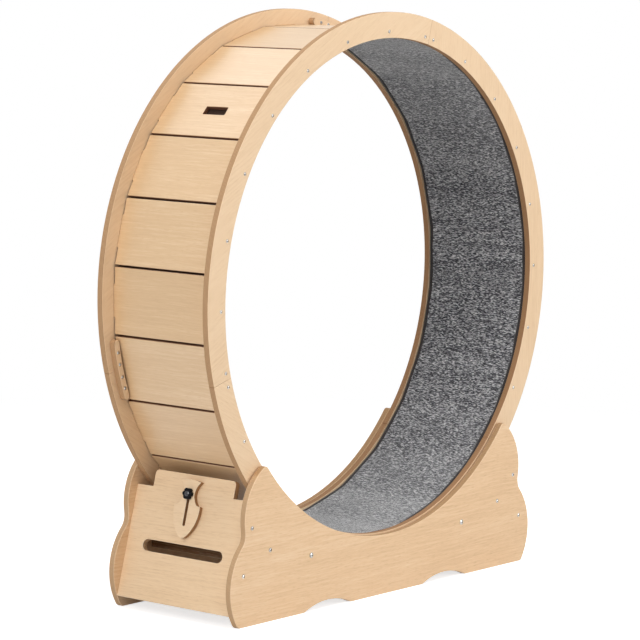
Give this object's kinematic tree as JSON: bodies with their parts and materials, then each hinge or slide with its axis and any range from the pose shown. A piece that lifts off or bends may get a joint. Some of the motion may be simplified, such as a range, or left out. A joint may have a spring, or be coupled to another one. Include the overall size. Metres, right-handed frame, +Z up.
{
  "type": "cat exercise wheel",
  "caption": "Free-standing wooden running wheel for a cat: a slatted, carpet-lined drum turns on rollers in a boarded base with a sliding lock.",
  "frame": {"origin": "on the floor, under the middle of the drum", "axes": "+Z up; Y is the drum's axis; the end of the base with the lock is at -X"},
  "size_m": [0.9999, 0.2908, 1.0655],
  "materials": {
    "ring_wood": "birch plywood rings and splice plates, sealed satin",
    "slat_wood": "birch plywood slats, sealed satin, grain across the drum",
    "base_wood": "birch plywood base and lock slide, sealed satin, grain along the boards",
    "carpet": "short looped grey carpet, flecked",
    "steel": "zinc-plated steel",
    "roller_plastic": "off-white nylon",
    "knob_plastic": "black, moulded, glossy"
  },
  "bodies": {
    "base": {"axle_nuts": "steel", "base_screws": "steel", "front_brace": "base_wood", "front_panel": "base_wood", "lock_stud": "steel", "rear_brace": "base_wood", "rear_panel": "base_wood", "roller_axles": "steel", "side_plate_left": "base_wood", "side_plate_right": "base_wood"},
    "wheel": {"carpet": "carpet", "ring_left_1": "ring_wood", "ring_left_2": "ring_wood", "ring_left_3": "ring_wood", "ring_right_1": "ring_wood", "ring_right_2": "ring_wood", "ring_right_3": "ring_wood", "ring_screws": "steel", "slat_01": "slat_wood", "slat_02": "slat_wood", "slat_03": "slat_wood", "slat_04": "slat_wood", "slat_05": "slat_wood", "slat_06": "slat_wood", "slat_07": "slat_wood", "slat_08": "slat_wood", "slat_09": "slat_wood", "slat_10": "slat_wood", "slat_11": "slat_wood", "slat_12": "slat_wood", "slat_13": "slat_wood", "slat_14": "slat_wood", "slat_15": "slat_wood", "slat_16": "slat_wood", "slat_17": "slat_wood", "slat_18": "slat_wood", "slat_19": "slat_wood", "slat_20": "slat_wood", "slat_21": "slat_wood", "slat_22": "slat_wood", "slat_23": "slat_wood", "slat_24": "slat_wood", "splice_plates_left": "ring_wood", "splice_plates_right": "ring_wood", "splice_screws": "steel"},
    "roller_front_left": {"bearing_front_left": "steel", "roller_front_left": "roller_plastic"},
    "roller_front_right": {"bearing_front_right": "steel", "roller_front_right": "roller_plastic"},
    "roller_rear_left": {"bearing_rear_left": "steel", "roller_rear_left": "roller_plastic"},
    "roller_rear_right": {"bearing_rear_right": "steel", "roller_rear_right": "roller_plastic"},
    "lock_slide": {"lock_slide": "base_wood"},
    "lock_knob": {"lock_knob": "knob_plastic"}
  },
  "joints": [
    {"name": "wheel_spin", "type": "hinge", "parent": "base", "child": "wheel", "pos_m": [0, 0, 0.5655], "axis": [0, 1, 0], "continuous": true},
    {"name": "roller_front_left_spin", "type": "hinge", "parent": "base", "child": "roller_front_left", "pos_m": [-0.22598, 0.122, 0.10217], "axis": [0, 1, 0], "continuous": true},
    {"name": "roller_front_right_spin", "type": "hinge", "parent": "base", "child": "roller_front_right", "pos_m": [-0.22598, -0.122, 0.10217], "axis": [0, 1, 0], "continuous": true},
    {"name": "roller_rear_left_spin", "type": "hinge", "parent": "base", "child": "roller_rear_left", "pos_m": [0.22598, 0.122, 0.10217], "axis": [0, 1, 0], "continuous": true},
    {"name": "roller_rear_right_spin", "type": "hinge", "parent": "base", "child": "roller_rear_right", "pos_m": [0.22598, -0.122, 0.10217], "axis": [0, 1, 0], "continuous": true},
    {"name": "lock_slide_travel", "type": "slide", "parent": "base", "child": "lock_slide", "axis": [0.2588, 0, 0.9659], "range_m": [0, 0.03]},
    {"name": "lock_knob_turn", "type": "hinge", "parent": "base", "child": "lock_knob", "pos_m": [-0.38651, 0, 0.21444], "axis": [-0.9659, 0, 0.2588], "range_deg": [0, 360]}
  ],
  "couplings": [
    {"joint": "roller_front_left_spin", "follows": "wheel_spin", "ratio": -32.895},
    {"joint": "roller_front_right_spin", "follows": "wheel_spin", "ratio": -32.895},
    {"joint": "roller_rear_left_spin", "follows": "wheel_spin", "ratio": -32.895},
    {"joint": "roller_rear_right_spin", "follows": "wheel_spin", "ratio": -32.895}
  ]
}
